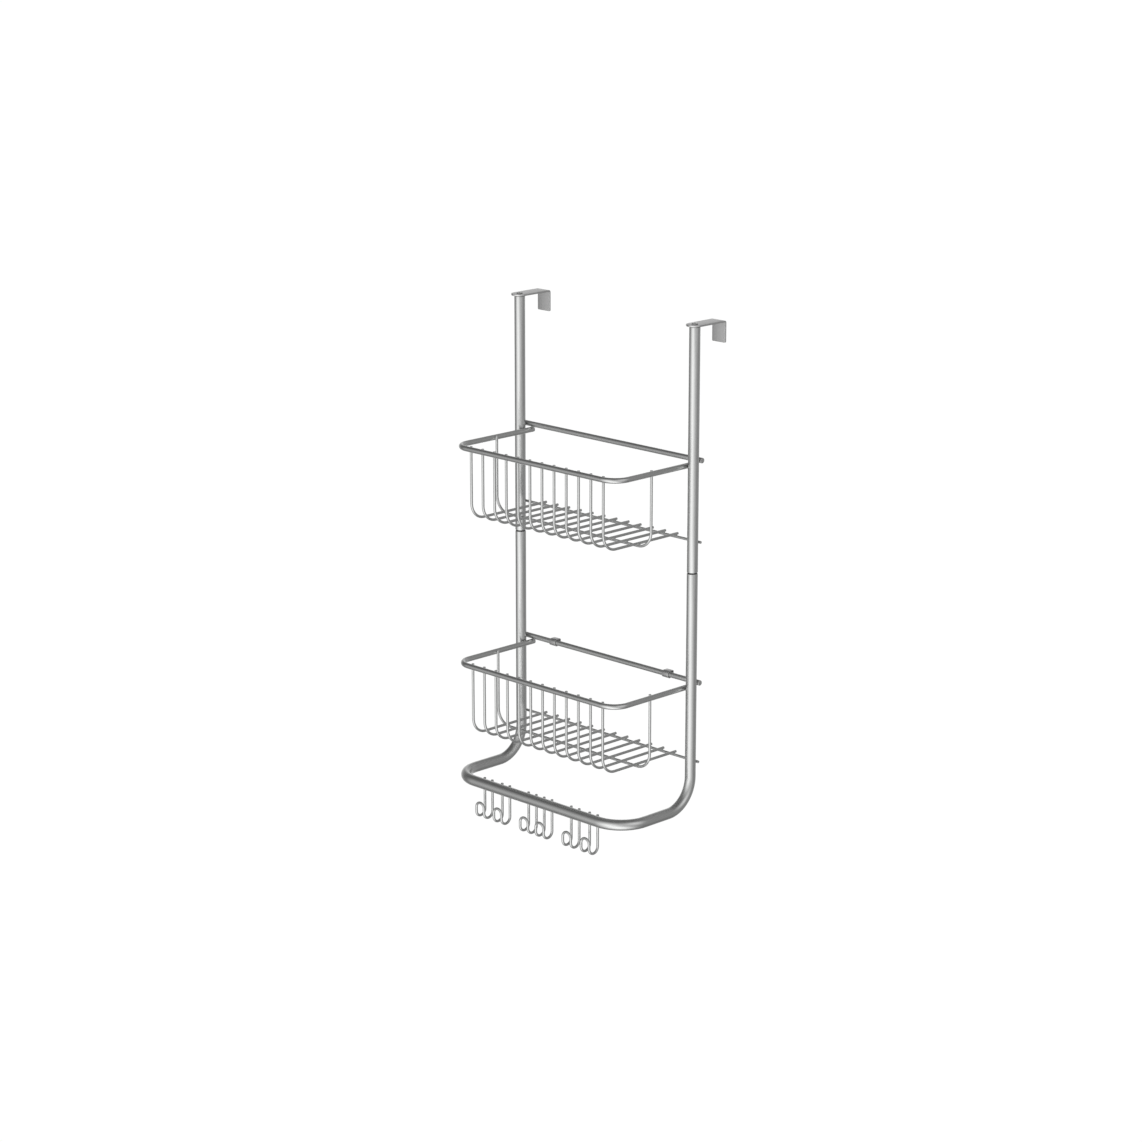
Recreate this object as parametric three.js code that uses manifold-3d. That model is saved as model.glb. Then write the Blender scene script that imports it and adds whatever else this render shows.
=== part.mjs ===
// Over-door shower caddy: two wire baskets on a pair of tubes that hang from a door by flat hooks.
// Millimetres. X runs left to right, -Y faces the user, +Y faces the door, Z is up.
// The origin lies midway between the two tubes, level with the door's top edge.
import * as THREE from 'three';
import Module from 'manifold-3d';

const wasm = await Module();
wasm.setup();
const { Manifold, Mesh: ManifoldMesh } = wasm;

// Stock sizes
const TUBE_OD = 12.7;
const TUBE_WALL = 1.2;
const ROD_DIA = 6.35;
const WIRE_DIA = 3.2;
const GAP = 0.3;

// Frame
const TUBE_SPACING = 280;
const JOINT_Z = -284.7;
const JOINT_SEAM = 0.7;
const BAR_Z = -565.3;
const BAR_Y = -113.9;
const TUBE_BEND_R = 37;
const SPIGOT_INSERT = 30;
const SPIGOT_DEPTH = 30;

// Door hooks
const STRAP_WIDTH = 20;
const STRAP_THICK = 2;
const STRAP_BEND_R = 0.5;
const FLANGE_OUTER_Y = 41.4;
const FLANGE_BOTTOM_Z = -23.3;
const SCREW_HOLE_R = 2.35;
const SCREW_SHANK_R = 2;
const SCREW_HEAD_R = 3.8;
const SCREW_HEAD_H = 1.1;
const SCREW_RECESS = 0.6;
const SCREW_LENGTH = 12;
const INSERT_LENGTH = 16;
const INSERT_COLLAR = 0.4;

// Baskets
const UPPER_RIM_Z = -161.5;
const BASKET_SPACING = 262.1;
const RIM_FRONT_Y = -116.4;
const RIM_CORNER_R = 20.5;
const RIM_ARM_END_Y = 12.2;
const RAIL_HALF = 145;
const FLOOR_ROD_HALF = 145.2;
const FLOOR_DROP = 84.8;
const WIRE_COUNT = 12;
const WIRE_PITCH = 19.44;
const WIRE_BEND_R = 19.5;
const WIRE_TOP_RISE = 2.6;
const WIRE_REAR_Y = 10.8;
const CROSS_WIRE_Y = -52.8;

// Razor hooks
const HOOK_CENTRES = [-87.4, -57.6, -13, 13, 57.6, 87.4];
const HOOK_LEG_SPACING = 12.9;
const HOOK_TOP_RISE = 4.9;
const HOOK_DROP = 40.9;
const HOOK_BEND_R = 7;
const HOOK_ARCH_DROP = 22.4;

// Door-rest clips on the lower back rail
const CLIP_X = 92.8;
const CLIP_WIDTH = 9.8;
const CLIP_THICK = 1;
const CLIP_REAR_Y = 16;
const CLIP_TAIL = 8.6;

// Derived positions
const tubeR = TUBE_OD / 2;
const rodR = ROD_DIA / 2;
const wireR = WIRE_DIA / 2;
const tubeX = TUBE_SPACING / 2;
const armX = tubeX - tubeR - rodR - GAP;
const railY = tubeR + rodR + GAP;
const floorRodY = tubeR + wireR + GAP;
const upperTubeTop = -GAP - INSERT_COLLAR - GAP;

const UP = new THREE.Vector3(0, 0, 1);
const DOWN = new THREE.Vector3(0, 0, -1);
const RIGHT = new THREE.Vector3(1, 0, 0);
const LEFT = new THREE.Vector3(-1, 0, 0);
const BACK = new THREE.Vector3(0, 1, 0);

const BENT_STEPS = 8;

const caddy = new THREE.Group();
caddy.name = 'shower_caddy';

const satin = (name, colour, roughness, metalness) => {
  const material = new THREE.MeshStandardMaterial({ color: colour, roughness, metalness });
  material.name = name;
  return material;
};

const finish = {
  tube: () => satin('satin_tube', 0xbcbbb7, 0.34, 1),
  rod: () => satin('satin_rod', 0xa9a8a5, 0.36, 1),
  wire: () => satin('satin_wire', 0xa3a29f, 0.38, 1),
  strap: () => satin('satin_strap', 0xadacaa, 0.4, 1),
  screw: () => satin('screw_steel', 0xc4c4c2, 0.28, 1),
  plug: () => satin('black_plastic', 0x222222, 0.55, 0),
};

function addPiece(name, geometry, material) {
  const piece = new THREE.Mesh(geometry, material);
  piece.name = name;
  caddy.add(piece);
  return piece;
}

// A centre line that is made the way a bender makes it: straight runs and round bends.
class BentLine extends THREE.Curve {
  constructor(start, heading) {
    super();
    this.points = [start.clone()];
    this.headings = [heading.clone()];
  }

  get end() {
    return this.points[this.points.length - 1];
  }

  get heading() {
    return this.headings[this.headings.length - 1];
  }

  get steps() {
    return this.points.length - 1;
  }

  straight(length) {
    const next = this.end.clone().addScaledVector(this.heading, length);
    this.headings.push(this.heading.clone());
    this.points.push(next);
    return this;
  }

  bend(radius, degrees, axis, steps = BENT_STEPS) {
    const inward = new THREE.Vector3().crossVectors(axis, this.heading);
    const centre = this.end.clone().addScaledVector(inward, radius);
    const spoke = this.end.clone().sub(centre);
    const from = this.heading.clone();
    for (let i = 1; i <= steps; i += 1) {
      const angle = THREE.MathUtils.degToRad(degrees) * i / steps;
      this.points.push(spoke.clone().applyAxisAngle(axis, angle).add(centre));
      this.headings.push(from.clone().applyAxisAngle(axis, angle));
    }
    return this;
  }

  getPointAt(u, target = new THREE.Vector3()) {
    return target.copy(this.points[Math.round(u * this.steps)]);
  }

  getPoint(u, target = new THREE.Vector3()) {
    return this.getPointAt(u, target);
  }

  getTangentAt(u, target = new THREE.Vector3()) {
    return target.copy(this.headings[Math.round(u * this.steps)]).normalize();
  }
}

function ring(PathClass, radius, sides) {
  const outline = new PathClass();
  for (let i = 0; i < sides; i += 1) {
    const angle = 2 * Math.PI * (i + 0.5) / sides;
    const x = radius * Math.cos(angle);
    const y = radius * Math.sin(angle);
    if (i === 0) outline.moveTo(x, y);
    else outline.lineTo(x, y);
  }
  outline.closePath();
  return outline;
}

function sweep(line, radius, sides, boreRadius = 0, boreSides = 14) {
  const section = ring(THREE.Shape, radius, sides);
  if (boreRadius > 0) section.holes.push(ring(THREE.Path, boreRadius, boreSides));
  return new THREE.ExtrudeGeometry(section, {
    steps: line.steps,
    extrudePath: line,
    bevelEnabled: false,
    curveSegments: 1,
  });
}

// A turned part: pairs of [radius, height] from the axis at the bottom to the axis at the top.
function turned(profile, sides = 18) {
  const points = profile.map(([radius, height]) => new THREE.Vector2(radius, height));
  const geometry = new THREE.LatheGeometry(points, sides);
  geometry.rotateX(Math.PI / 2);
  return geometry;
}

function toManifold(geometry) {
  const plain = new THREE.BufferGeometry();
  plain.setAttribute('position', geometry.getAttribute('position'));
  if (geometry.index) plain.setIndex(geometry.index);
  const loose = plain.index ? plain.toNonIndexed() : plain;
  const position = loose.getAttribute('position');
  const seen = new Map();
  const vertices = [];
  const triangles = [];
  for (let i = 0; i < position.count; i += 1) {
    const corner = [position.getX(i), position.getY(i), position.getZ(i)];
    const key = corner.map((value) => Math.round(value * 1e4)).join(' ');
    if (!seen.has(key)) {
      seen.set(key, seen.size);
      vertices.push(...corner);
    }
    triangles.push(seen.get(key));
  }
  return new Manifold(new ManifoldMesh({
    numProp: 3,
    vertProperties: new Float32Array(vertices),
    triVerts: new Uint32Array(triangles),
  }));
}

function fromManifold(solid) {
  const mesh = solid.getMesh();
  const geometry = new THREE.BufferGeometry();
  geometry.setAttribute('position', new THREE.BufferAttribute(mesh.vertProperties, 3));
  geometry.setIndex(new THREE.BufferAttribute(mesh.triVerts, 1));
  geometry.computeVertexNormals();
  return geometry;
}

// ---- Frame tubes ----

function upperTube() {
  const line = new BentLine(new THREE.Vector3(0, 0, upperTubeTop), DOWN);
  line.straight(upperTubeTop - JOINT_Z - JOINT_SEAM);
  return sweep(line, tubeR, 28, tubeR - TUBE_WALL, 20);
}

// One tube: down the left side, forward, across the front, back, and up the right side.
function lowerFrameTube() {
  const line = new BentLine(new THREE.Vector3(-tubeX, 0, JOINT_Z - JOINT_SEAM), DOWN);
  const drop = JOINT_Z - JOINT_SEAM - BAR_Z - TUBE_BEND_R;
  const arm = -BAR_Y - 2 * TUBE_BEND_R;
  line.straight(drop);
  line.bend(TUBE_BEND_R, 90, LEFT);
  line.straight(arm);
  line.bend(TUBE_BEND_R, 90, UP);
  line.straight(TUBE_SPACING - 2 * TUBE_BEND_R);
  line.bend(TUBE_BEND_R, 90, UP);
  line.straight(arm);
  line.bend(TUBE_BEND_R, 90, RIGHT);
  line.straight(drop);
  return sweep(line, tubeR, 24, tubeR - TUBE_WALL, 14);
}

// The connector stays in the upper tube and plugs into the lower one, with a thin collar between.
function jointSpigot() {
  const fit = tubeR - TUBE_WALL - GAP;
  const collar = JOINT_SEAM - 2 * 0.05;
  return turned([
    [0, -SPIGOT_DEPTH],
    [fit - 1.2, -SPIGOT_DEPTH],
    [fit - 0.1, -SPIGOT_DEPTH + 4],
    [fit - 0.1, -collar],
    [tubeR - 0.8, -collar],
    [tubeR - 0.8, collar],
    [fit, collar],
    [fit, SPIGOT_INSERT],
    [0, SPIGOT_INSERT],
  ]);
}

// ---- Door hooks ----

function strapSide() {
  const side = new THREE.Shape();
  const back = FLANGE_OUTER_Y;
  const outerR = STRAP_BEND_R + STRAP_THICK;
  side.moveTo(-STRAP_WIDTH, 0);
  side.lineTo(back - outerR, 0);
  side.absarc(back - outerR, -STRAP_BEND_R, STRAP_BEND_R, Math.PI / 2, 0, true);
  side.lineTo(back - STRAP_THICK, FLANGE_BOTTOM_Z);
  side.lineTo(back, FLANGE_BOTTOM_Z);
  side.lineTo(back, STRAP_THICK - outerR);
  side.absarc(back - outerR, STRAP_THICK - outerR, outerR, 0, Math.PI / 2, false);
  side.lineTo(-STRAP_WIDTH, STRAP_THICK);
  side.closePath();
  return side;
}

function hookPlate() {
  const folded = new THREE.ExtrudeGeometry(strapSide(), {
    depth: STRAP_WIDTH,
    bevelEnabled: false,
    curveSegments: 8,
  });
  folded.rotateX(Math.PI / 2);
  folded.rotateZ(Math.PI / 2);
  folded.translate(-STRAP_WIDTH / 2, 0, 0);

  const outline = new THREE.Shape();
  const half = STRAP_WIDTH / 2;
  outline.moveTo(half, 0);
  outline.lineTo(half, FLANGE_OUTER_Y + 1);
  outline.lineTo(-half, FLANGE_OUTER_Y + 1);
  outline.lineTo(-half, 0);
  outline.absarc(0, 0, half, Math.PI, 2 * Math.PI, false);
  const hole = new THREE.Path();
  hole.absarc(0, 0, SCREW_HOLE_R, 0, 2 * Math.PI, true);
  outline.holes.push(hole);
  const cutter = new THREE.ExtrudeGeometry(outline, {
    depth: 60,
    bevelEnabled: false,
    curveSegments: 24,
  });
  cutter.translate(0, 0, -40);
  return fromManifold(toManifold(folded).intersect(toManifold(cutter)));
}

function hookScrew() {
  const under = STRAP_THICK + GAP;
  const top = under + SCREW_HEAD_H;
  return turned([
    [0, under - SCREW_LENGTH],
    [SCREW_SHANK_R - 0.4, under - SCREW_LENGTH],
    [SCREW_SHANK_R, under - SCREW_LENGTH + 0.6],
    [SCREW_SHANK_R, under],
    [SCREW_HEAD_R, under],
    [SCREW_HEAD_R, under + 0.5],
    [SCREW_HEAD_R * 0.86, top - 0.35],
    [SCREW_HEAD_R * 0.5, top],
    [SCREW_HEAD_R * 0.28, top],
    [SCREW_HEAD_R * 0.28, top - SCREW_RECESS],
    [0, top - SCREW_RECESS],
  ]);
}

// A bored plug that fills the tube's mouth and takes the hook's screw.
function tubeInsert() {
  const collarTop = -GAP;
  const seat = collarTop - INSERT_COLLAR;
  const plugR = tubeR - TUBE_WALL - GAP;
  const boreR = SCREW_SHANK_R + 0.25;
  const boreFloor = STRAP_THICK + GAP - SCREW_LENGTH - 1;
  return turned([
    [0, seat - INSERT_LENGTH],
    [plugR - 0.6, seat - INSERT_LENGTH],
    [plugR, seat - INSERT_LENGTH + 1],
    [plugR, seat],
    [tubeR, seat],
    [tubeR, collarTop - 0.1],
    [tubeR - 0.1, collarTop],
    [boreR, collarTop],
    [boreR, boreFloor],
    [0, boreFloor],
  ]);
}

// ---- Basket pieces ----

// The thick rim runs forward along the left, across the front, and back along the right.
function basketRim(z) {
  const line = new BentLine(new THREE.Vector3(-armX, RIM_ARM_END_Y, z), new THREE.Vector3(0, -1, 0));
  const arm = RIM_ARM_END_Y - RIM_FRONT_Y - RIM_CORNER_R;
  line.straight(arm);
  line.bend(RIM_CORNER_R, 90, UP);
  line.straight(2 * (armX - RIM_CORNER_R));
  line.bend(RIM_CORNER_R, 90, UP);
  line.straight(arm);
  return sweep(line, rodR, 14);
}

function straightRod(half, y, z, radius, sides) {
  const line = new BentLine(new THREE.Vector3(-half, y, z), RIGHT);
  line.straight(2 * half);
  return sweep(line, radius, sides);
}

const frontWireY = RIM_FRONT_Y + rodR + wireR + GAP;

function frontWire(x, rimZ) {
  const top = rimZ + WIRE_TOP_RISE;
  const floorZ = rimZ - FLOOR_DROP;
  const line = new BentLine(new THREE.Vector3(x, frontWireY, top), DOWN);
  line.straight(top - floorZ - WIRE_BEND_R);
  line.bend(WIRE_BEND_R, 90, RIGHT);
  line.straight(WIRE_REAR_Y - frontWireY - WIRE_BEND_R);
  return sweep(line, wireR, 10);
}

const floorWireStack = WIRE_DIA + GAP;

function crossWire(rimZ) {
  const top = rimZ + WIRE_TOP_RISE;
  const x = armX - rodR - wireR - GAP;
  const low = rimZ - FLOOR_DROP - floorWireStack;
  const side = top - low - WIRE_BEND_R;
  const line = new BentLine(new THREE.Vector3(-x, CROSS_WIRE_Y, top), DOWN);
  line.straight(side);
  line.bend(WIRE_BEND_R, 90, new THREE.Vector3(0, -1, 0));
  line.straight(2 * (x - WIRE_BEND_R));
  line.bend(WIRE_BEND_R, 90, new THREE.Vector3(0, -1, 0));
  line.straight(side);
  return sweep(line, wireR, 10);
}

function addBasket(level, rimZ) {
  addPiece(`rim_${level}`, basketRim(rimZ), finish.rod());
  const railZ = rimZ + ROD_DIA + GAP;
  addPiece(`back_rail_${level}`, straightRod(RAIL_HALF, railY, railZ, rodR, 14), finish.rod());
  const rodZ = rimZ - FLOOR_DROP - floorWireStack;
  const rod = straightRod(FLOOR_ROD_HALF, floorRodY, rodZ, wireR, 10);
  addPiece(`floor_rod_${level}`, rod, finish.wire());
  addPiece(`cross_wire_${level}`, crossWire(rimZ), finish.wire());
  for (let i = 0; i < WIRE_COUNT; i += 1) {
    const x = (i - (WIRE_COUNT - 1) / 2) * WIRE_PITCH;
    const label = String(i + 1).padStart(2, '0');
    addPiece(`front_wire_${level}_${label}`, frontWire(x, rimZ), finish.wire());
  }
}

// ---- Razor hooks: one hairpin of wire each, welded behind the front bar ----

function razorHook() {
  const legY = BAR_Y + tubeR + wireR + GAP;
  const half = HOOK_LEG_SPACING / 2;
  const top = BAR_Z + HOOK_TOP_RISE;
  const leg = HOOK_TOP_RISE + HOOK_DROP - HOOK_BEND_R;
  const rise = HOOK_DROP - HOOK_BEND_R - HOOK_ARCH_DROP - half;
  const line = new BentLine(new THREE.Vector3(-half, legY, top), DOWN);
  line.straight(leg);
  line.bend(HOOK_BEND_R, 180, LEFT);
  line.straight(rise);
  line.bend(half, 180, BACK);
  line.straight(rise);
  line.bend(HOOK_BEND_R, 180, RIGHT);
  line.straight(leg);
  return sweep(line, wireR, 10);
}

// ---- Door-rest clips: a strip that grips the rail and stands off towards the door ----

function railClip() {
  const side = new THREE.Shape();
  const inner = rodR + 0.25;
  const outer = inner + CLIP_THICK;
  const rear = CLIP_REAR_Y - railY;
  side.moveTo(rear, outer);
  side.lineTo(0, outer);
  side.absarc(0, 0, outer, Math.PI / 2, 1.62 * Math.PI, false);
  side.absarc(0, 0, inner, 1.62 * Math.PI, Math.PI / 2, true);
  side.lineTo(rear - CLIP_THICK, inner);
  side.lineTo(rear - CLIP_THICK, outer - CLIP_TAIL);
  side.lineTo(rear, outer - CLIP_TAIL);
  side.closePath();
  const strip = new THREE.ExtrudeGeometry(side, {
    depth: CLIP_WIDTH,
    bevelEnabled: false,
    curveSegments: 14,
  });
  strip.rotateX(Math.PI / 2);
  strip.rotateZ(Math.PI / 2);
  strip.translate(-CLIP_WIDTH / 2, 0, 0);
  return strip;
}

// ---- Assembly ----

for (const [side, x] of [['left', -tubeX], ['right', tubeX]]) {
  addPiece(`upper_tube_${side}`, upperTube(), finish.tube()).position.x = x;
  addPiece(`joint_spigot_${side}`, jointSpigot(), finish.plug()).position.set(x, 0, JOINT_Z);
  addPiece(`tube_insert_${side}`, tubeInsert(), finish.screw()).position.x = x;
  addPiece(`hook_plate_${side}`, hookPlate(), finish.strap()).position.x = x;
  addPiece(`hook_screw_${side}`, hookScrew(), finish.screw()).position.x = x;
}

addPiece('lower_frame_tube', lowerFrameTube(), finish.tube());

const lowerRimZ = UPPER_RIM_Z - BASKET_SPACING;
addBasket('upper', UPPER_RIM_Z);
addBasket('lower', lowerRimZ);

HOOK_CENTRES.forEach((x, index) => {
  addPiece(`razor_hook_${index + 1}`, razorHook(), finish.wire()).position.x = x;
});

for (const [side, x] of [['left', -CLIP_X], ['right', CLIP_X]]) {
  const railZ = lowerRimZ + ROD_DIA + GAP;
  addPiece(`rail_clip_${side}`, railClip(), finish.strap()).position.set(x, railY, railZ);
}

export default caddy;
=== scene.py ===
import math
from typing import NamedTuple

import bmesh
import bpy
from mathutils import Matrix, Vector


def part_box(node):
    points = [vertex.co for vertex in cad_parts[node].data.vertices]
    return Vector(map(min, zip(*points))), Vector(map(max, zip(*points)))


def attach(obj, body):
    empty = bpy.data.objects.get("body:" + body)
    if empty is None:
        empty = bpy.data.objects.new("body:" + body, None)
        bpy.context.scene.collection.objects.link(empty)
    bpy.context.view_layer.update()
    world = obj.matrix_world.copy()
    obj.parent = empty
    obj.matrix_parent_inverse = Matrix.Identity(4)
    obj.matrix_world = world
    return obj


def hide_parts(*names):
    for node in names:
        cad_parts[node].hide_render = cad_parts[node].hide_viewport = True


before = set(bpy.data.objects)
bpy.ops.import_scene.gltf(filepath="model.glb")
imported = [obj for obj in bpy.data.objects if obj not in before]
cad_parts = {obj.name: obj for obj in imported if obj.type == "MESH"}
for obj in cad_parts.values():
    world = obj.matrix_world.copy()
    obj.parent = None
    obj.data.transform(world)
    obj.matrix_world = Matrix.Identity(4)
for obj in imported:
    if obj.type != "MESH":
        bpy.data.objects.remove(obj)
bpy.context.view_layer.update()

# Stock sizes, in metres
TUBE_R = 0.00635
TUBE_WALL = 0.0012
ROD_R = 0.003175
WIRE_R = 0.0016
CONTACT_GAP = 0.0003

# Facets around round stock
TUBE_FACETS = 56
ROD_FACETS = 36
WIRE_FACETS = 24
TURNED_FACETS = 48

# Bend radii of the centre lines
TUBE_BEND = 0.037
RIM_BEND = 0.0205
WIRE_BEND = 0.0195
HOOK_BEND = 0.007

# How much stock flattens in a bend, as a share of its radius
TUBE_FLATTENING = 0.035
ROD_FLATTENING = 0.02
WIRE_FLATTENING = 0.02
HOOK_FLATTENING = 0.03

# How cut ends and edges are broken
TUBE_CHAMFER = 0.0005
ROD_CHAMFER = 0.0005
WIRE_CHAMFER = 0.0004
STRAIGHT_CHAMFER_SHARE = 0.18
CHAMFER_STEPS = 4
SHARP_ANGLE = math.radians(38)

# Razor hooks, measured down from the bar's centre line
HOOK_LOW_DROP = 0.0409
HOOK_ARCH_DROP = 0.0224

# Door hooks
STRAP_THICK = 0.002
STRAP_BEND = 0.0015
STRAP_EDGE = 0.00035
STRAP_CORNER = 0.0012
STRAP_HOLE_R = 0.00235
COUNTERSINK_Z = 0.0017
COUNTERSINK_RISE = 0.0008
COUNTERSINK_SPREAD = 0.00055
COUNTERSINK_TOP_SPREAD = 0.0002
DRILL_FACETS = 40
EDGE_STEPS = 4
CORNER_STEPS = 4
NOSE_STEPS = 14
NOSE_INSET = 0.00002
NOSE_TIP_SHARE = 0.04
SOFT_EDGE_SHARE = 0.9

# Clips
CLIP_THICK = 0.001
CLIP_EDGE = 0.0003
CLIP_FOLD = 0.0009
CLIP_PLAY = 0.00025
CLIP_WRAP = 201

# Spigots
SPIGOT_COLLAR = 0.0006
SPIGOT_COLLAR_INSET = 0.0008
SPIGOT_LEAD = 0.004
SPIGOT_TAPER = 0.0008
SPIGOT_CHAMFER = 0.0006

# Tube plugs
PLUG_COLLAR = 0.0004
PLUG_BORE_R = 0.00225
PLUG_BORE_END_Z = -0.0108
PLUG_POINT = 0.0004
PLUG_TIP_INSET = 0.0006
PLUG_TIP_RISE = 0.001

# Screws
SHANK_R = 0.002
SHANK_TIP_INSET = 0.0005
SHANK_TIP_RISE = 0.0006
SHANK_NECK = 0.0012
THREAD_START = 0.001
THREAD_STOP = 0.002
THREAD_PITCH = 0.0007
THREAD_DEPTH = 0.00035
HEAD_RIM = 0.0004
HEAD_FLAT_SHARE = 0.30
HEAD_STEPS = 8
RECESS_LENGTH = 0.0058
RECESS_WIDTH = 0.0013
RECESS_CUT = 0.0022
RECESS_LIFT = 0.0001
RECESS_TAPER = 0.45
RECESS_TURNS = (20, 110)

# Weld beads: a waist between the two wires that flares along each of them
WELD_DEPTH = 0.0007
WELD_WAIST = 0.0010
WELD_FLARE = 0.0011
WELD_SIDE_FLARE = 0.0002
WELD_FLARE_CURVE = 1.6
WELD_NECK = 0.3
WELD_COVER = 0.95
WELD_RINGS = 7
WELD_FACETS = 14
RIPPLE = 0.07
RIPPLE_LOBES = 3
RIPPLE_TURN = 900

# Studio
FLOOR_Z = -4.5
FLOOR_HALF = 6
FLOOR_CENTRE_HOLE = 0.01
FLOOR_FACETS = 64
SWEEP = 3
SWEEP_STEPS = 8
ROOM_HEIGHT = 12
FLOOR_GLOW = 1.02
CAMERA_PLACE = (2.4785, -2.5399, 0.6427)
CAMERA_TURN = 44.926
CAMERA_DOWN = 15.016
CAMERA_LENS = 99.03
SENSOR_WIDTH = 36
CAMERA_REACH = 200

# The light from all round: a low level everywhere, and soft panels of it.
# Each panel has an azimuth from the front, a height, a tightness and a strength.
SURROUND_LEVEL = 0.14
SOFT_PANELS = {
    "front_wash": (5, -6, 2.3, 1.0),
    "front_core": (5, -6, 12, 0.3),
    "low_front_right": (45, -50, 6, 1.2),
    "right_above": (90, 30, 8, 0.87),
    "right": (90, -12, 8, 0.19),
    "back_right": (150, -12, 8, 0.23),
    "back_above": (180, 30, 8, 0.29),
    "back_left": (-150, -12, 8, 0.45),
    "back_left_glint": (-135, 16, 60, 0.36),
    "low_back_left": (-135, -50, 6, 0.11),
    "left": (-120, -12, 8, 0.6),
}

UP = Vector((0, 0, 1))
DOWN = Vector((0, 0, -1))
RIGHT = Vector((1, 0, 0))
LEFT = Vector((-1, 0, 0))
BACK = Vector((0, 1, 0))
FRONT = Vector((0, -1, 0))

SIDES = ("left", "right")
LEVELS = ("upper", "lower")
FRAME_OF = {"upper": "upper_frame", "lower": "lower_frame"}
WIRES = [f"{i:02d}" for i in range(1, 13)]
RAZOR_HOOKS = [str(i) for i in range(1, 7)]


def middle(node):
    low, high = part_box(node)
    return (low + high) / 2


# ---------------------------------------------------------------- bent stock

class BentLine:
    """A centre line made as a bender makes it: straight runs and round bends."""

    def __init__(self, start, heading):
        self.points = [Vector(start)]
        self.headings = [Vector(heading).normalized()]
        self.bent = [0.0]
        self.inward = [None]

    def straight(self, length, steps=1):
        start, heading = self.points[-1].copy(), self.headings[-1].copy()
        for i in range(1, steps + 1):
            self.points.append(start + heading * (length * i / steps))
            self.headings.append(heading.copy())
            self.bent.append(0.0)
            self.inward.append(None)
        return self

    def bend(self, radius, degrees, axis, steps):
        heading = self.headings[-1].copy()
        centre = self.points[-1] + axis.cross(heading) * radius
        spoke = self.points[-1] - centre
        for i in range(1, steps + 1):
            turn = Matrix.Rotation(math.radians(degrees) * i / steps, 3, axis)
            self.points.append(centre + turn @ spoke)
            self.headings.append(turn @ heading)
            self.bent.append(math.sin(math.pi * i / steps))
            self.inward.append((centre - self.points[-1]).normalized())
        return self


def travelling_frames(line):
    """A side vector at each station that turns with the line and never twists."""
    heading = line.headings[0]
    side = heading.orthogonal().normalized()
    sides = [side]
    for after in line.headings[1:]:
        turn = heading.rotation_difference(after)
        side = turn @ side
        side = (side - after * side.dot(after)).normalized()
        sides.append(side)
        heading = after
    return sides


def new_piece(name, mesh_data, body, finish, stands_for=()):
    piece = bpy.data.objects.new(name, mesh_data)
    bpy.context.scene.collection.objects.link(piece)
    mesh_data.materials.append(finish)
    mesh_data.shade_smooth()
    mesh_data.set_sharp_from_angle(angle=SHARP_ANGLE)
    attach(piece, body)
    if stands_for:
        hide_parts(*stands_for)
    return piece


class MeshMaker:
    """Collects corners and faces, with the place of each corner along and around the stock."""

    def __init__(self):
        self.corners = []
        self.grain = []
        self.faces = []

    def ring(self, points, grains):
        first = len(self.corners)
        self.corners += points
        self.grain += grains
        return list(range(first, first + len(points)))

    def band(self, near, far):
        count = len(near)
        for i in range(count):
            j = (i + 1) % count
            self.faces.append((near[i], near[j], far[j], far[i]))

    def cap(self, ring, flip):
        self.faces.append(tuple(reversed(ring)) if flip else tuple(ring))

    def mesh(self, name):
        made = bpy.data.meshes.new(name)
        made.from_pydata([tuple(c) for c in self.corners], [], self.faces)
        lie = made.attributes.new("stock", "FLOAT_VECTOR", "POINT")
        flat = [value for g in self.grain for value in g]
        lie.data.foreach_set("vector", flat)
        made.validate()
        made.update()
        return made


class Station(NamedTuple):
    """One section of round stock: its centre, how it lies, and how far along the stock it comes."""
    point: Vector
    heading: Vector
    side: Vector
    run: float
    radius: float
    bent: float = 0.0
    inward: Vector = None


def cut_end(radius, chamfer):
    """How a cut end rounds off, up to the end: (how far back from the end, radius there)."""
    for i in range(CHAMFER_STEPS + 1):
        angle = math.pi / 2 * i / CHAMFER_STEPS
        yield chamfer * (1 - math.sin(angle)), radius - chamfer * (1 - math.cos(angle))


def stations_along(line, radius, chamfer):
    sides = travelling_frames(line)
    stations = []
    run = 0.0
    for i, point in enumerate(line.points):
        if i:
            run += (point - line.points[i - 1]).length
        stations.append(Station(point, line.headings[i], sides[i], run, radius, line.bent[i], line.inward[i]))
    first, last = stations[0], stations[-1]
    lead, trail = [], []
    for back, end_r in cut_end(radius, chamfer):
        start = first.point + first.heading * back
        lead.append(Station(start, first.heading, first.side, first.run + back, end_r))
        end = last.point - last.heading * back
        trail.append(Station(end, last.heading, last.side, last.run - back, end_r))
    return lead[::-1] + stations[1:-1] + trail


def round_ring(maker, station, radius, facets, flattening):
    over = station.heading.cross(station.side)
    spots, grains = [], []
    for k in range(facets):
        angle = 2 * math.pi * k / facets
        spoke = (station.side * math.cos(angle) + over * math.sin(angle)) * radius
        if station.inward is not None:
            spoke -= station.inward * (spoke.dot(station.inward) * flattening * station.bent)
        spots.append(station.point + spoke)
        grains.append((station.run, radius * math.cos(angle), radius * math.sin(angle)))
    return maker.ring(spots, grains)


def sweep_round(maker, line, radius, facets, chamfer, flattening=0.0, bore=0.0):
    """Round stock along a line. In a bend it flattens a little towards the bend's centre, as stock does."""
    stations = stations_along(line, radius, chamfer)
    outer = [round_ring(maker, station, station.radius, facets, flattening) for station in stations]
    for near, far in zip(outer, outer[1:]):
        maker.band(near, far)
    if not bore:
        maker.cap(outer[0], True)
        maker.cap(outer[-1], False)
        return
    inner = [round_ring(maker, station, bore, facets, flattening) for station in stations]
    for near, far in zip(inner, inner[1:]):
        maker.band(far, near)
    maker.band(inner[0], outer[0])
    maker.band(outer[-1], inner[-1])


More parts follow.
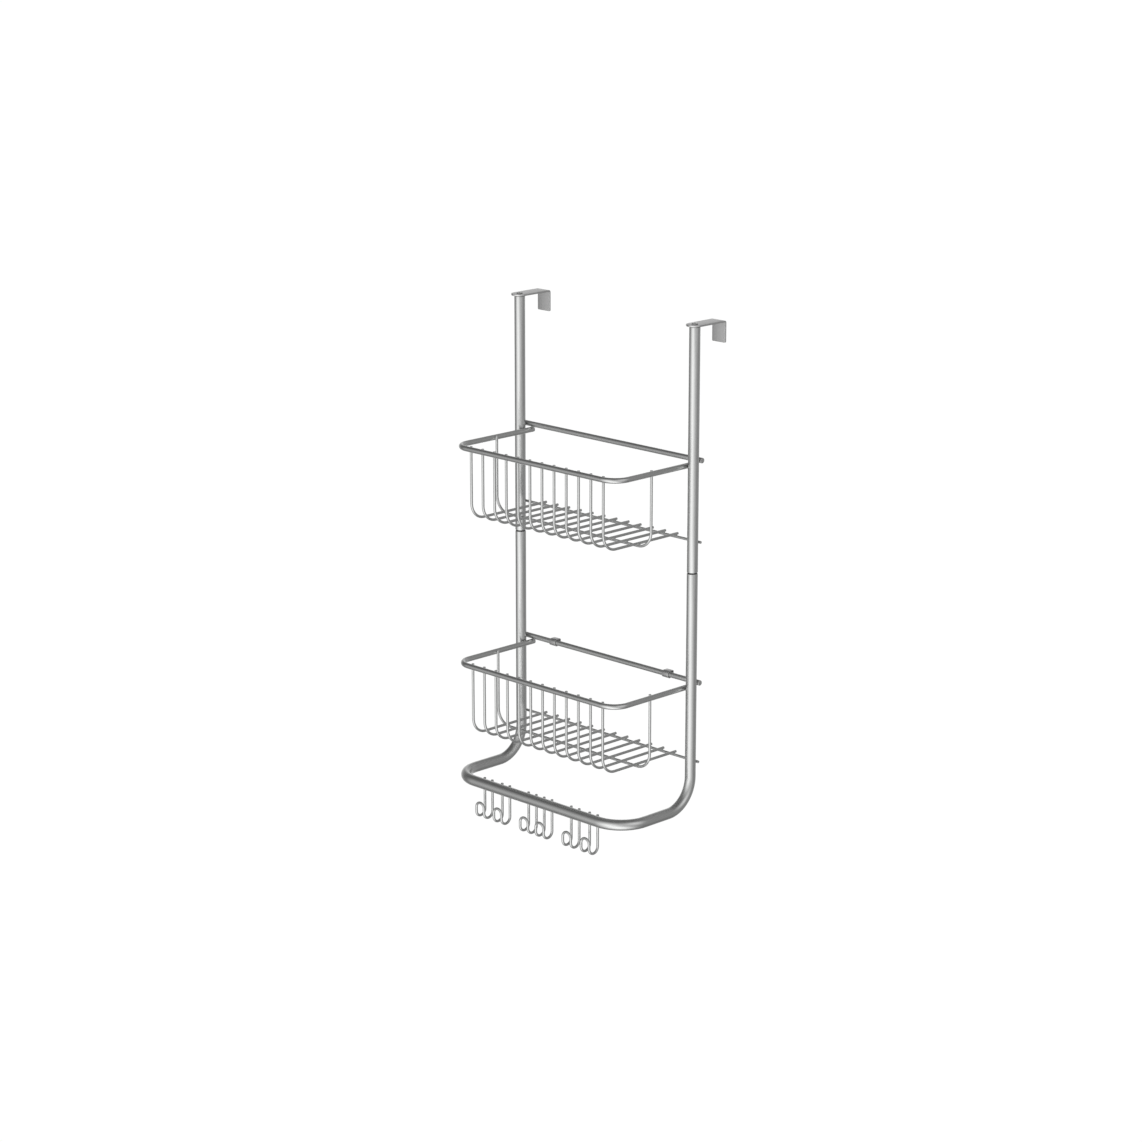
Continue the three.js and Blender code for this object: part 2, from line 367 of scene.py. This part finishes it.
def turned(maker, origin, profile, facets):
    """A turned piece about a vertical axis. Flat caps close the first and last rings of its profile."""
    rings = []
    for radius, height in profile:
        spots, grains = [], []
        for k in range(facets):
            angle = 2 * math.pi * k / facets
            out = Vector((math.cos(angle), math.sin(angle), 0))
            spots.append(origin + out * radius + UP * height)
            grains.append((height, radius * out.x, radius * out.y))
        rings.append(maker.ring(spots, grains))
    for near, far in zip(rings, rings[1:]):
        maker.band(near, far)
    maker.cap(rings[0], True)
    maker.cap(rings[-1], False)


# ---------------------------------------------------------------- finishes

class Link:
    """A socket that takes part in sums, so that shader maths reads as plain maths."""

    def __init__(self, finish, socket):
        self.finish = finish
        self.socket = socket

    def maths(self, operation, first, second):
        return self.finish.node("ShaderNodeMath", {"operation": operation}, {0: first, 1: second})

    def __add__(self, other):
        return self.maths("ADD", self, other)

    __radd__ = __add__

    def __sub__(self, other):
        return self.maths("SUBTRACT", self, other)

    def __rsub__(self, other):
        return self.maths("SUBTRACT", other, self)

    def __mul__(self, other):
        return self.maths("MULTIPLY", self, other)

    __rmul__ = __mul__

    def __pow__(self, other):
        return self.maths("POWER", self, other)

    def __rpow__(self, other):
        return self.maths("POWER", other, self)

    def at_least(self, other):
        return self.maths("MAXIMUM", self, other)

    def at_most(self, other):
        return self.maths("MINIMUM", self, other)


class Finish:
    """A material, or the studio's surround, under construction."""

    def __init__(self, owner):
        self.owner = owner
        owner.use_nodes = True
        self.tree = owner.node_tree
        self.tree.nodes.clear()

    def node(self, kind, settings=None, inputs=None, output=0):
        made = self.tree.nodes.new(kind)
        for key, value in (settings or {}).items():
            if key == "stops":
                ramp = made.color_ramp
                while len(ramp.elements) < len(value):
                    ramp.elements.new(0.5)
                for element, (place, shade) in zip(ramp.elements, value):
                    element.position = place
                    element.color = (shade, shade, shade, 1)
            else:
                setattr(made, key, value)
        for key, value in (inputs or {}).items():
            if isinstance(value, Link):
                self.tree.links.new(value.socket, made.inputs[key])
            else:
                made.inputs[key].default_value = value
        return Link(self, made.outputs[output])

    def stock(self, along, around):
        """The place on the stock, stretched: along its run, and around or across it."""
        place = self.node("ShaderNodeAttribute", {"attribute_name": "stock"}, output="Vector")
        scale = {0: place, 1: (along, around, around)}
        return self.node("ShaderNodeVectorMath", {"operation": "MULTIPLY"}, scale)

    def noise(self, where, scale=1.0, detail=3.0, rough=0.55):
        sockets = {"Vector": where, "Scale": scale, "Detail": detail, "Roughness": rough}
        return self.node("ShaderNodeTexNoise", {"noise_dimensions": "3D"}, sockets)

    def ramp(self, value, stops):
        return self.node("ShaderNodeValToRGB", {"stops": stops}, {0: value})

    def blend(self, factor, first, second):
        first_colour, second_colour, mixed = 6, 7, 2
        sockets = {"Factor": factor, first_colour: (*first, 1), second_colour: (*second, 1)}
        return self.node("ShaderNodeMix", {"data_type": "RGBA"}, sockets, output=mixed)

    def bump(self, height, strength, distance):
        sockets = {"Height": height, "Strength": strength, "Distance": distance}
        return self.node("ShaderNodeBump", None, sockets)

    def surface(self, **sockets):
        named = {key.replace("_", " "): value for key, value in sockets.items()}
        shader = self.node("ShaderNodeBsdfPrincipled", None, named)
        return self.ends_in("ShaderNodeOutputMaterial", shader)

    def ends_in(self, kind, shader):
        end = self.tree.nodes.new(kind)
        self.tree.links.new(shader.socket, end.inputs[0])
        return self.owner


def satin_metal(name, light, dark, roughness, hairline, bump):
    """Satin nickel plate: brushed hairlines along the stock, soft clouding and a few dull specks."""
    metal = Finish(bpy.data.materials.new(name))
    hairs = metal.noise(metal.stock(along=45, around=2300), detail=3.0, rough=0.65)
    fine = metal.noise(metal.stock(along=160, around=7000), detail=1.0, rough=0.5)
    cloud = metal.noise(metal.stock(along=14, around=40), detail=2.0, rough=0.5)
    specks = metal.noise(metal.stock(along=900, around=900), detail=2.0, rough=0.5)
    dull = metal.ramp(specks, [(0.0, 0.0), (0.66, 0.0), (0.74, 1.0)])
    tone = hairs * 0.6 + cloud * 0.4 - dull * 0.1
    colour = metal.blend(metal.ramp(tone, [(0.3, 0.0), (0.7, 1.0)]), dark, light)
    rough = roughness + (hairs - 0.5) * hairline + (cloud - 0.5) * 0.05 + dull * 0.08
    height = hairs * 0.6 + fine * 0.4
    return metal.surface(
        Base_Color=colour,
        Metallic=1.0,
        Roughness=rough.at_least(0.12).at_most(0.7),
        Normal=metal.bump(height, strength=bump, distance=0.00006),
    )


def moulded_plastic(name, light, dark):
    """Black moulding: a fine grain, and patches where the surface is a little duller."""
    plastic = Finish(bpy.data.materials.new(name))
    place = plastic.node("ShaderNodeTexCoord", output="Object")
    grain = plastic.noise(place, scale=2400.0, detail=3.0, rough=0.6)
    patch = plastic.noise(place, scale=160.0, detail=2.0, rough=0.5)
    return plastic.surface(
        Base_Color=plastic.blend(patch, dark, light),
        Roughness=0.42 + patch * 0.2,
        Normal=plastic.bump(grain, strength=0.25, distance=0.00008),
    )


TUBE_FINISH = satin_metal(
    "satin_tube_finish", light=(0.655, 0.66, 0.655), dark=(0.595, 0.60, 0.595),
    roughness=0.28, hairline=0.12, bump=0.12,
)
ROD_FINISH = satin_metal(
    "satin_rod_finish", light=(0.655, 0.66, 0.655), dark=(0.59, 0.595, 0.59),
    roughness=0.28, hairline=0.12, bump=0.12,
)
WIRE_FINISH = satin_metal(
    "satin_wire_finish", light=(0.64, 0.645, 0.64), dark=(0.58, 0.585, 0.58),
    roughness=0.29, hairline=0.12, bump=0.12,
)
STRAP_FINISH = satin_metal(
    "satin_strap_finish", light=(0.70, 0.70, 0.695), dark=(0.56, 0.56, 0.56),
    roughness=0.34, hairline=0.30, bump=0.45,
)
SCREW_FINISH = satin_metal(
    "screw_steel_finish", light=(0.70, 0.70, 0.69), dark=(0.62, 0.62, 0.615),
    roughness=0.24, hairline=0.08, bump=0.10,
)
PLASTIC_FINISH = moulded_plastic(
    "black_plastic_finish", light=(0.030, 0.030, 0.031), dark=(0.016, 0.016, 0.017),
)


# ---------------------------------------------------------------- frame tubes

def upper_tube(side):
    node = f"upper_tube_{side}"
    low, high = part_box(node)
    line = BentLine((middle(node).x, 0, high.z), DOWN).straight(high.z - low.z, steps=6)
    maker = MeshMaker()
    sweep_round(maker, line, TUBE_R, TUBE_FACETS, TUBE_CHAMFER, bore=TUBE_R - TUBE_WALL)
    new_piece(f"tube_{side}_upper_length", maker.mesh(node + "_shell"), "upper_frame",
              TUBE_FINISH, [node])


def lower_tube():
    node = "lower_frame_tube"
    low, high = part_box(node)
    x = high.x - TUBE_R
    drop = high.z - (low.z + TUBE_R) - TUBE_BEND
    arm = -(low.y + TUBE_R) - 2 * TUBE_BEND
    line = BentLine((-x, 0, high.z), DOWN).straight(drop, steps=6)
    line.bend(TUBE_BEND, 90, LEFT, steps=22).straight(arm, steps=2)
    line.bend(TUBE_BEND, 90, UP, steps=22).straight(2 * (x - TUBE_BEND), steps=6)
    line.bend(TUBE_BEND, 90, UP, steps=22).straight(arm, steps=2)
    line.bend(TUBE_BEND, 90, RIGHT, steps=22).straight(drop, steps=6)
    maker = MeshMaker()
    sweep_round(maker, line, TUBE_R, TUBE_FACETS, TUBE_CHAMFER, TUBE_FLATTENING, TUBE_R - TUBE_WALL)
    new_piece("tube_lower_length", maker.mesh(node + "_shell"), "lower_frame",
              TUBE_FINISH, [node])


def spigot(side):
    node = f"joint_spigot_{side}"
    low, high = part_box(node)
    centre = middle(node)
    half = (high.z - low.z) / 2
    fit = TUBE_R - TUBE_WALL - CONTACT_GAP
    ease = 0.0001
    core = 0.0004
    collar_r = TUBE_R - SPIGOT_COLLAR_INSET
    profile = [
        (core, -half), (fit - 2 * SPIGOT_CHAMFER, -half),
        (fit - SPIGOT_TAPER, -half + SPIGOT_CHAMFER), (fit - ease, -half + SPIGOT_LEAD),
        (fit - ease, -SPIGOT_COLLAR), (collar_r - ease, -SPIGOT_COLLAR),
        (collar_r, 0), (collar_r - ease, SPIGOT_COLLAR), (fit, SPIGOT_COLLAR),
        (fit, half - SPIGOT_CHAMFER), (fit - SPIGOT_CHAMFER, half), (core, half),
    ]
    maker = MeshMaker()
    turned(maker, Vector((centre.x, 0, centre.z)), profile, TURNED_FACETS)
    new_piece(f"spigot_{side}", maker.mesh(node + "_moulding"), "upper_frame",
              PLASTIC_FINISH, [node])


# ---------------------------------------------------------------- door hooks

def strip(maker, line, width_at, thickness, edge):
    """Flat strip along a line that bends about the X axis, with softened edges."""
    travelled = 0.0
    rings = []
    for i, point in enumerate(line.points):
        if i:
            travelled += (point - line.points[i - 1]).length
        heading = line.headings[i]
        face = RIGHT.cross(heading)
        half_w = width_at(travelled) / 2
        half_t = thickness / 2
        soft = min(edge, half_w * SOFT_EDGE_SHARE, half_t * SOFT_EDGE_SHARE)
        spots, grains = [], []
        for side_sign, face_sign, first in ((1, 1, 0), (-1, 1, 90), (-1, -1, 180), (1, -1, 270)):
            for k in range(EDGE_STEPS + 1):
                angle = math.radians(first + 90 * k / EDGE_STEPS)
                across = side_sign * (half_w - soft) + soft * math.cos(angle)
                out = face_sign * (half_t - soft) + soft * math.sin(angle)
                spots.append(point + RIGHT * across + face * out)
                grains.append((travelled, across, out))
        rings.append(maker.ring(spots, grains))
    for near, far in zip(rings, rings[1:]):
        maker.band(near, far)
    maker.cap(rings[0], True)
    maker.cap(rings[-1], False)


def along_strip(line):
    """Finds where any point of a bent strip lies: along its run, across its width, through its thickness."""
    runs = []
    travelled = 0.0
    for near, far in zip(line.points, line.points[1:]):
        step = far - near
        runs.append((near, step.normalized(), step.length, travelled))
        travelled += step.length

    def lie(spot):
        found = None
        for near, heading, length, before in runs:
            run = min(max((spot - near).dot(heading), 0.0), length)
            offset = spot - near - heading * run
            across, offset.x = offset.x, 0.0
            if found is None or offset.length < found[0]:
                found = (offset.length, (before + run, across, offset.dot(RIGHT.cross(heading))))
        return found[1]

    return lie


def cut_from(piece, cutter_mesh, lie):
    """Takes a cutter's shape out of a piece. lie gives each corner its place on the stock again."""
    cutter = bpy.data.objects.new("cutter", cutter_mesh)
    bpy.context.scene.collection.objects.link(cutter)
    step = piece.modifiers.new("cut", "BOOLEAN")
    step.object = cutter
    step.operation = "DIFFERENCE"
    step.solver = "EXACT"
    bpy.context.view_layer.update()
    settled = piece.evaluated_get(bpy.context.evaluated_depsgraph_get())
    cut = bpy.data.meshes.new_from_object(settled)
    piece.modifiers.clear()
    piece.data = cut
    bpy.data.objects.remove(cutter)
    places = [value for corner in cut.vertices for value in lie(corner.co)]
    cut.attributes["stock"].data.foreach_set("vector", places)
    cut.shade_smooth()
    cut.set_sharp_from_angle(angle=SHARP_ANGLE)


def hook_line(node):
    """The hook's centre line: round its nose in fine steps, back over the door, and down to its end."""
    low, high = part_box(node)
    nose = -low.y
    mid_z = STRAP_THICK / 2
    line = BentLine((middle(node).x, low.y + NOSE_INSET, mid_z), BACK)
    for i in range(NOSE_STEPS):
        near = nose * (1 - math.cos(math.pi / 2 * i / NOSE_STEPS))
        far = nose * (1 - math.cos(math.pi / 2 * (i + 1) / NOSE_STEPS))
        line.straight(far - near)
    line.straight(high.y - STRAP_THICK / 2 - STRAP_BEND, steps=6)
    line.bend(STRAP_BEND, 90, LEFT, steps=10)
    line.straight(mid_z - STRAP_BEND - low.z - STRAP_CORNER, steps=4)
    for i in range(CORNER_STEPS):
        near = STRAP_CORNER * math.sin(math.pi / 2 * i / CORNER_STEPS)
        far = STRAP_CORNER * math.sin(math.pi / 2 * (i + 1) / CORNER_STEPS)
        line.straight(far - near)
    return line


def hook_plate(side):
    node = f"hook_plate_{side}"
    low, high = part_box(node)
    width = high.x - low.x
    nose = -low.y
    line = hook_line(node)
    length = sum((far - near).length for near, far in zip(line.points, line.points[1:]))

    def width_at(run):
        if run < nose:
            return 2 * math.sqrt(max(nose ** 2 - (nose - run) ** 2, (NOSE_TIP_SHARE * nose) ** 2))
        left = length - run
        if left < STRAP_CORNER:
            reach = math.sqrt(max(STRAP_CORNER ** 2 - (STRAP_CORNER - left) ** 2, 0))
            return width - 2 * (STRAP_CORNER - reach)
        return width

    maker = MeshMaker()
    strip(maker, line, width_at, STRAP_THICK, STRAP_EDGE)
    plate = new_piece(f"door_hook_{side}", maker.mesh(node + "_strap"), f"hook_{side}",
                      STRAP_FINISH, [node])
    countersink = [
        (STRAP_HOLE_R, -STRAP_THICK), (STRAP_HOLE_R, COUNTERSINK_Z),
        (STRAP_HOLE_R + COUNTERSINK_SPREAD, COUNTERSINK_Z + COUNTERSINK_RISE),
        (STRAP_HOLE_R + COUNTERSINK_SPREAD + COUNTERSINK_TOP_SPREAD, 2 * STRAP_THICK),
    ]
    drill = MeshMaker()
    turned(drill, Vector((middle(node).x, 0, 0)), countersink, DRILL_FACETS)
    cut_from(plate, drill.mesh("drill"), along_strip(line))


def thread(tip, seat):
    """The screw's profile from its tip up to its plain neck, with a groove at each pitch of the thread."""
    core = 0.0003
    profile = [(core, tip), (SHANK_R - SHANK_TIP_INSET, tip), (SHANK_R, tip + SHANK_TIP_RISE)]
    z = tip + THREAD_START
    while z < seat - THREAD_STOP:
        profile += [(SHANK_R, z), (SHANK_R - THREAD_DEPTH, z + THREAD_PITCH / 2)]
        z += THREAD_PITCH
    return profile + [(SHANK_R, seat - SHANK_NECK), (SHANK_R, seat)]


def pan_head(head_r, seat, top):
    """The head's profile: a low upright rim, and a crown that flattens out in the middle."""
    edge = 0.0001
    core = 0.0002
    shoulder = seat + HEAD_RIM
    profile = [(head_r - edge, seat), (head_r, seat + edge), (head_r, shoulder)]
    for i in range(1, HEAD_STEPS):
        angle = math.pi / 2 * i / HEAD_STEPS
        reach = head_r * (HEAD_FLAT_SHARE + (1 - HEAD_FLAT_SHARE) * math.cos(angle))
        profile.append((reach, shoulder + (top - shoulder) * math.sin(angle)))
    return profile + [(core, top)]


def recess_bar(x, top, turn):
    """One bar of the cross recess, narrower at its lower end."""
    bar = bmesh.new()
    bmesh.ops.create_cube(bar, size=1)
    for corner in bar.verts:
        taper = 1.0 if corner.co.z > 0 else RECESS_TAPER
        corner.co.x *= RECESS_LENGTH * taper
        corner.co.y *= RECESS_WIDTH * taper
        corner.co.z *= RECESS_CUT
    spin = Matrix.Rotation(math.radians(turn), 4, "Z")
    bar.transform(Matrix.Translation((x, 0, top + RECESS_LIFT)) @ spin)
    bar_mesh = bpy.data.meshes.new("recess_bar")
    bar.to_mesh(bar_mesh)
    bar.free()
    return bar_mesh


def hook_screw(side):
    node = f"hook_screw_{side}"
    low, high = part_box(node)
    x = middle(node).x
    seat = STRAP_THICK + CONTACT_GAP
    profile = thread(low.z, seat) + pan_head((high.x - low.x) / 2, seat, high.z)
    maker = MeshMaker()
    turned(maker, Vector((x, 0, 0)), profile, TURNED_FACETS)
    screw = new_piece(f"pan_screw_{side}", maker.mesh(node + "_turning"), "upper_frame",
                      SCREW_FINISH, [node])
    for turn in RECESS_TURNS:
        cut_from(screw, recess_bar(x, high.z, turn), lambda spot: (spot.z, spot.x - x, spot.y))


def tube_insert(side):
    node = f"tube_insert_{side}"
    low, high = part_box(node)
    plug = TUBE_R - TUBE_WALL - CONTACT_GAP
    seat = high.z - PLUG_COLLAR
    edge = 0.0001
    mouth = 0.0002
    core = 0.0003
    profile = [
        (core, low.z), (plug - PLUG_TIP_INSET, low.z), (plug, low.z + PLUG_TIP_RISE), (plug, seat),
        (TUBE_R - edge, seat), (TUBE_R, seat + edge), (TUBE_R, high.z - edge),
        (TUBE_R - edge, high.z), (PLUG_BORE_R + mouth, high.z), (PLUG_BORE_R, high.z - mouth),
        (PLUG_BORE_R, PLUG_BORE_END_Z), (core, PLUG_BORE_END_Z - PLUG_POINT),
    ]
    maker = MeshMaker()
    turned(maker, Vector((middle(node).x, 0, 0)), profile, TUBE_FACETS)
    new_piece(f"tube_plug_{side}", maker.mesh(node + "_turning"), "upper_frame",
              SCREW_FINISH, [node])


# ---------------------------------------------------------------- baskets

def rim(level):
    node = f"rim_{level}"
    low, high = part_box(node)
    z = middle(node).z
    arm_x = high.x - ROD_R
    front = low.y + ROD_R
    arm = high.y - front - RIM_BEND
    line = BentLine((-arm_x, high.y, z), FRONT).straight(arm, steps=4)
    line.bend(RIM_BEND, 90, UP, steps=20).straight(2 * (arm_x - RIM_BEND), steps=8)
    line.bend(RIM_BEND, 90, UP, steps=20).straight(arm, steps=4)
    maker = MeshMaker()
    sweep_round(maker, line, ROD_R, ROD_FACETS, ROD_CHAMFER, ROD_FLATTENING)
    new_piece(f"basket_rim_{level}", maker.mesh(node + "_rod"), FRAME_OF[level],
              ROD_FINISH, [node])


def straight_rod(name, node, level, radius, facets, finish):
    low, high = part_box(node)
    centre = middle(node)
    line = BentLine((low.x, centre.y, centre.z), RIGHT).straight(high.x - low.x, steps=8)
    maker = MeshMaker()
    sweep_round(maker, line, radius, facets, radius * STRAIGHT_CHAMFER_SHARE)
    new_piece(name, maker.mesh(node + "_rod"), FRAME_OF[level], finish, [node])


def front_wire(level, label):
    node = f"front_wire_{level}_{label}"
    low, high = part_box(node)
    x = middle(node).x
    top = high.z
    front = low.y + WIRE_R
    floor = low.z + WIRE_R
    line = BentLine((x, front, top), DOWN).straight(top - floor - WIRE_BEND, steps=3)
    line.bend(WIRE_BEND, 90, RIGHT, steps=16).straight(high.y - front - WIRE_BEND, steps=4)
    maker = MeshMaker()
    sweep_round(maker, line, WIRE_R, WIRE_FACETS, WIRE_CHAMFER, WIRE_FLATTENING)
    new_piece(f"basket_wire_{level}_{label}", maker.mesh(node + "_wire"), FRAME_OF[level],
              WIRE_FINISH, [node])


def cross_wire(level):
    node = f"cross_wire_{level}"
    low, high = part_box(node)
    x = high.x - WIRE_R
    y = middle(node).y
    floor = low.z + WIRE_R
    side = high.z - floor - WIRE_BEND
    line = BentLine((-x, y, high.z), DOWN).straight(side, steps=3)
    line.bend(WIRE_BEND, 90, FRONT, steps=16).straight(2 * (x - WIRE_BEND), steps=8)
    line.bend(WIRE_BEND, 90, FRONT, steps=16).straight(side, steps=3)
    maker = MeshMaker()
    sweep_round(maker, line, WIRE_R, WIRE_FACETS, WIRE_CHAMFER, WIRE_FLATTENING)
    new_piece(f"basket_cross_wire_{level}", maker.mesh(node + "_wire"), FRAME_OF[level],
              WIRE_FINISH, [node])


def razor_hook(label):
    node = f"razor_hook_{label}"
    low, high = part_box(node)
    x = middle(node).x
    half = (high.x - low.x) / 2 - WIRE_R
    back = high.y - WIRE_R
    bottom = low.z + WIRE_R
    leg = high.z - bottom - HOOK_BEND
    rise = HOOK_LOW_DROP - HOOK_ARCH_DROP - HOOK_BEND - half
    line = BentLine((x - half, back, high.z), DOWN).straight(leg, steps=3)
    line.bend(HOOK_BEND, 180, LEFT, steps=22).straight(rise)
    line.bend(half, 180, BACK, steps=22).straight(rise)
    line.bend(HOOK_BEND, 180, RIGHT, steps=22).straight(leg, steps=3)
    maker = MeshMaker()
    sweep_round(maker, line, WIRE_R, WIRE_FACETS, WIRE_CHAMFER, HOOK_FLATTENING)
    new_piece(f"hairpin_hook_{label}", maker.mesh(node + "_wire"), "lower_frame",
              WIRE_FINISH, [node])


def rail_clip(side):
    node = f"rail_clip_{side}"
    low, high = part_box(node)
    x = middle(node).x
    width = high.x - low.x
    rail = middle("back_rail_lower")
    mid_r = ROD_R + CLIP_PLAY + CLIP_THICK / 2
    top = rail.z + mid_r
    rear = high.y - CLIP_THICK / 2
    line = BentLine((x, rear, low.z), UP).straight(top - CLIP_FOLD - low.z, steps=3)
    line.bend(CLIP_FOLD, 90, RIGHT, steps=6).straight(rear - CLIP_FOLD - rail.y, steps=4)
    line.bend(mid_r, CLIP_WRAP, RIGHT, steps=24)
    maker = MeshMaker()
    strip(maker, line, lambda run: width, CLIP_THICK, CLIP_EDGE)
    new_piece(f"door_rest_clip_{side}", maker.mesh(node + "_strap"), f"clip_{side}",
              STRAP_FINISH, [node])


# ---------------------------------------------------------------- welds

def weld(maker, place, normal, first_axis, second_axis, first_r, second_r):
    """The small fillet where two crossing wires are fused. normal runs from the first wire to the second."""
    normal = Vector(normal).normalized()
    rings = []
    for i in range(WELD_RINGS):
        depth = -1 + 2 * i / (WELD_RINGS - 1)
        flare_first = max(-depth, 0) ** WELD_FLARE_CURVE
        flare_second = max(depth, 0) ** WELD_FLARE_CURVE
        along_first = WELD_WAIST + WELD_FLARE * flare_first + WELD_SIDE_FLARE * flare_second
        along_second = WELD_WAIST + WELD_FLARE * flare_second + WELD_SIDE_FLARE * flare_first
        if depth > WELD_NECK:
            along_first = min(along_first, second_r * WELD_COVER)
        if depth < -WELD_NECK:
            along_second = min(along_second, first_r * WELD_COVER)
        spots, grains = [], []
        for k in range(WELD_FACETS):
            angle = 2 * math.pi * k / WELD_FACETS
            first_reach = math.cos(angle) * along_first
            second_reach = math.sin(angle) * along_second
            out = first_axis * first_reach + second_axis * second_reach
            ripple = 1 + RIPPLE * math.sin(RIPPLE_LOBES * angle + RIPPLE_TURN * (place.x + place.z))
            spots.append(place + normal * (depth * WELD_DEPTH) + out * ripple)
            grains.append((depth * WELD_DEPTH, first_reach, second_reach))
        rings.append(maker.ring(spots, grains))
    flip = first_axis.cross(second_axis).dot(normal) < 0
    for near, far in zip(rings, rings[1:]):
        if flip:
            maker.band(far, near)
        else:
            maker.band(near, far)
    maker.cap(rings[0], not flip)
    maker.cap(rings[-1], flip)


def basket_welds(level, maker):
    rim_mid = middle(f"rim_{level}")
    rim_low, rim_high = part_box(f"rim_{level}")
    front_y = rim_low.y + 2 * ROD_R + CONTACT_GAP / 2
    arm_x = rim_high.x - ROD_R
    cross_y = middle(f"cross_wire_{level}").y
    rail = middle(f"back_rail_{level}")
    rod = middle(f"floor_rod_{level}")
    for label in WIRES:
        node = f"front_wire_{level}_{label}"
        x = middle(node).x
        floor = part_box(node)[0].z + WIRE_R
        weld(maker, Vector((x, front_y, rim_mid.z)), FRONT, UP, RIGHT, WIRE_R, ROD_R)
        under = floor - WIRE_R - CONTACT_GAP / 2
        weld(maker, Vector((x, cross_y, under)), DOWN, BACK, RIGHT, WIRE_R, WIRE_R)
        weld(maker, Vector((x, rod.y, under)), DOWN, BACK, RIGHT, WIRE_R, WIRE_R)
    for side, sign in zip(SIDES, (-1, 1)):
        side_x = sign * (arm_x - ROD_R - CONTACT_GAP / 2)
        weld(maker, Vector((side_x, cross_y, rim_mid.z)), RIGHT * sign, UP, BACK, WIRE_R, ROD_R)
        tube_x = sign * (arm_x + ROD_R + CONTACT_GAP / 2)
        weld(maker, Vector((tube_x, 0, rim_mid.z)), RIGHT * sign, BACK, UP, ROD_R, TUBE_R)
        over = rim_mid.z + ROD_R + CONTACT_GAP / 2
        weld(maker, Vector((sign * arm_x, rail.y, over)), UP, BACK, RIGHT, ROD_R, ROD_R)
        upright_x = middle(f"upper_tube_{side}").x
        behind = TUBE_R + CONTACT_GAP / 2
        weld(maker, Vector((upright_x, behind, rail.z)), FRONT, RIGHT, UP, ROD_R, TUBE_R)
        weld(maker, Vector((upright_x, behind, rod.z)), FRONT, RIGHT, UP, WIRE_R, TUBE_R)


def all_welds():
    for level in LEVELS:
        maker = MeshMaker()
        basket_welds(level, maker)
        if level == "lower":
            bar_low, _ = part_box("lower_frame_tube")
            bar_z = bar_low.z + TUBE_R
            contact = bar_low.y + 2 * TUBE_R + CONTACT_GAP / 2
            for label in RAZOR_HOOKS:
                low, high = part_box(f"razor_hook_{label}")
                for x in (low.x + WIRE_R, high.x - WIRE_R):
                    weld(maker, Vector((x, contact, bar_z)), FRONT, UP, RIGHT, WIRE_R, TUBE_R)
        new_piece(f"welds_{level}", maker.mesh(f"welds_{level}_beads"), FRAME_OF[level],
                  WIRE_FINISH)


# ---------------------------------------------------------------- assembly

for side in SIDES:
    upper_tube(side)
    spigot(side)
    tube_insert(side)
    hook_plate(side)
    hook_screw(side)
    rail_clip(side)
lower_tube()
for level in LEVELS:
    rim(level)
    straight_rod(f"basket_rail_{level}", f"back_rail_{level}", level, ROD_R, ROD_FACETS,
                 ROD_FINISH)
    straight_rod(f"basket_floor_rod_{level}", f"floor_rod_{level}", level, WIRE_R, WIRE_FACETS,
                 WIRE_FINISH)
    cross_wire(level)
    for label in WIRES:
        front_wire(level, label)
for label in RAZOR_HOOKS:
    razor_hook(label)
all_welds()


# ---------------------------------------------------------------- studio

def pale_floor():
    """A white floor that sweeps up into walls and ceiling. It glows evenly and casts nothing."""
    profile = [(FLOOR_CENTRE_HOLE, 0.0), (FLOOR_HALF, 0.0)]
    for i in range(1, SWEEP_STEPS + 1):
        angle = math.pi / 2 * i / SWEEP_STEPS
        profile.append((FLOOR_HALF + SWEEP * math.sin(angle), SWEEP * (1 - math.cos(angle))))
    profile += [
        (FLOOR_HALF + SWEEP, ROOM_HEIGHT - SWEEP), (FLOOR_HALF, ROOM_HEIGHT),
        (FLOOR_CENTRE_HOLE, ROOM_HEIGHT),
    ]
    maker = MeshMaker()
    turned(maker, Vector((0, 0, FLOOR_Z)), profile, FLOOR_FACETS)
    floor = bpy.data.objects.new("floor", maker.mesh("floor_sweep"))
    bpy.context.scene.collection.objects.link(floor)
    pale = Finish(bpy.data.materials.new("pale_floor"))
    floor.data.materials.append(pale.surface(
        Base_Color=(0, 0, 0, 1),
        Roughness=1.0,
        Specular_IOR_Level=0.0,
        Emission_Color=(1, 1, 1, 1),
        Emission_Strength=FLOOR_GLOW,
    ))
    floor.visible_glossy = False
    floor.visible_diffuse = False
    floor.visible_shadow = False


def soft_surround():
    """A broad light from all round, with a soft panel of light for each row of SOFT_PANELS."""
    studio = Finish(bpy.data.worlds.new("studio"))
    bpy.context.scene.world = studio.owner
    toward = studio.node("ShaderNodeTexCoord", output="Generated")
    light = SURROUND_LEVEL
    for azimuth, height, tightness, strength in SOFT_PANELS.values():
        turn, rise = math.radians(azimuth), math.radians(height)
        panel = (math.sin(turn) * math.cos(rise), -math.cos(turn) * math.cos(rise), math.sin(rise))
        directions = {0: toward, 1: panel}
        facing = studio.node("ShaderNodeVectorMath", {"operation": "DOT_PRODUCT"}, directions, "Value")
        light = facing.at_least(0) ** tightness * strength + light
    background = studio.node("ShaderNodeBackground", None, {"Color": (1, 1, 1, 1), "Strength": light})
    studio.ends_in("ShaderNodeOutputWorld", background)


def camera():
    data = bpy.data.cameras.new("camera")
    data.sensor_width = SENSOR_WIDTH
    data.lens = CAMERA_LENS
    data.clip_end = CAMERA_REACH
    seen = bpy.data.objects.new("camera", data)
    seen.location = CAMERA_PLACE
    seen.rotation_euler = (math.radians(90 - CAMERA_DOWN), 0, math.radians(CAMERA_TURN))
    bpy.context.scene.collection.objects.link(seen)
    bpy.context.scene.camera = seen


pale_floor()
soft_surround()
camera()
bpy.context.scene.view_settings.view_transform = "Standard"
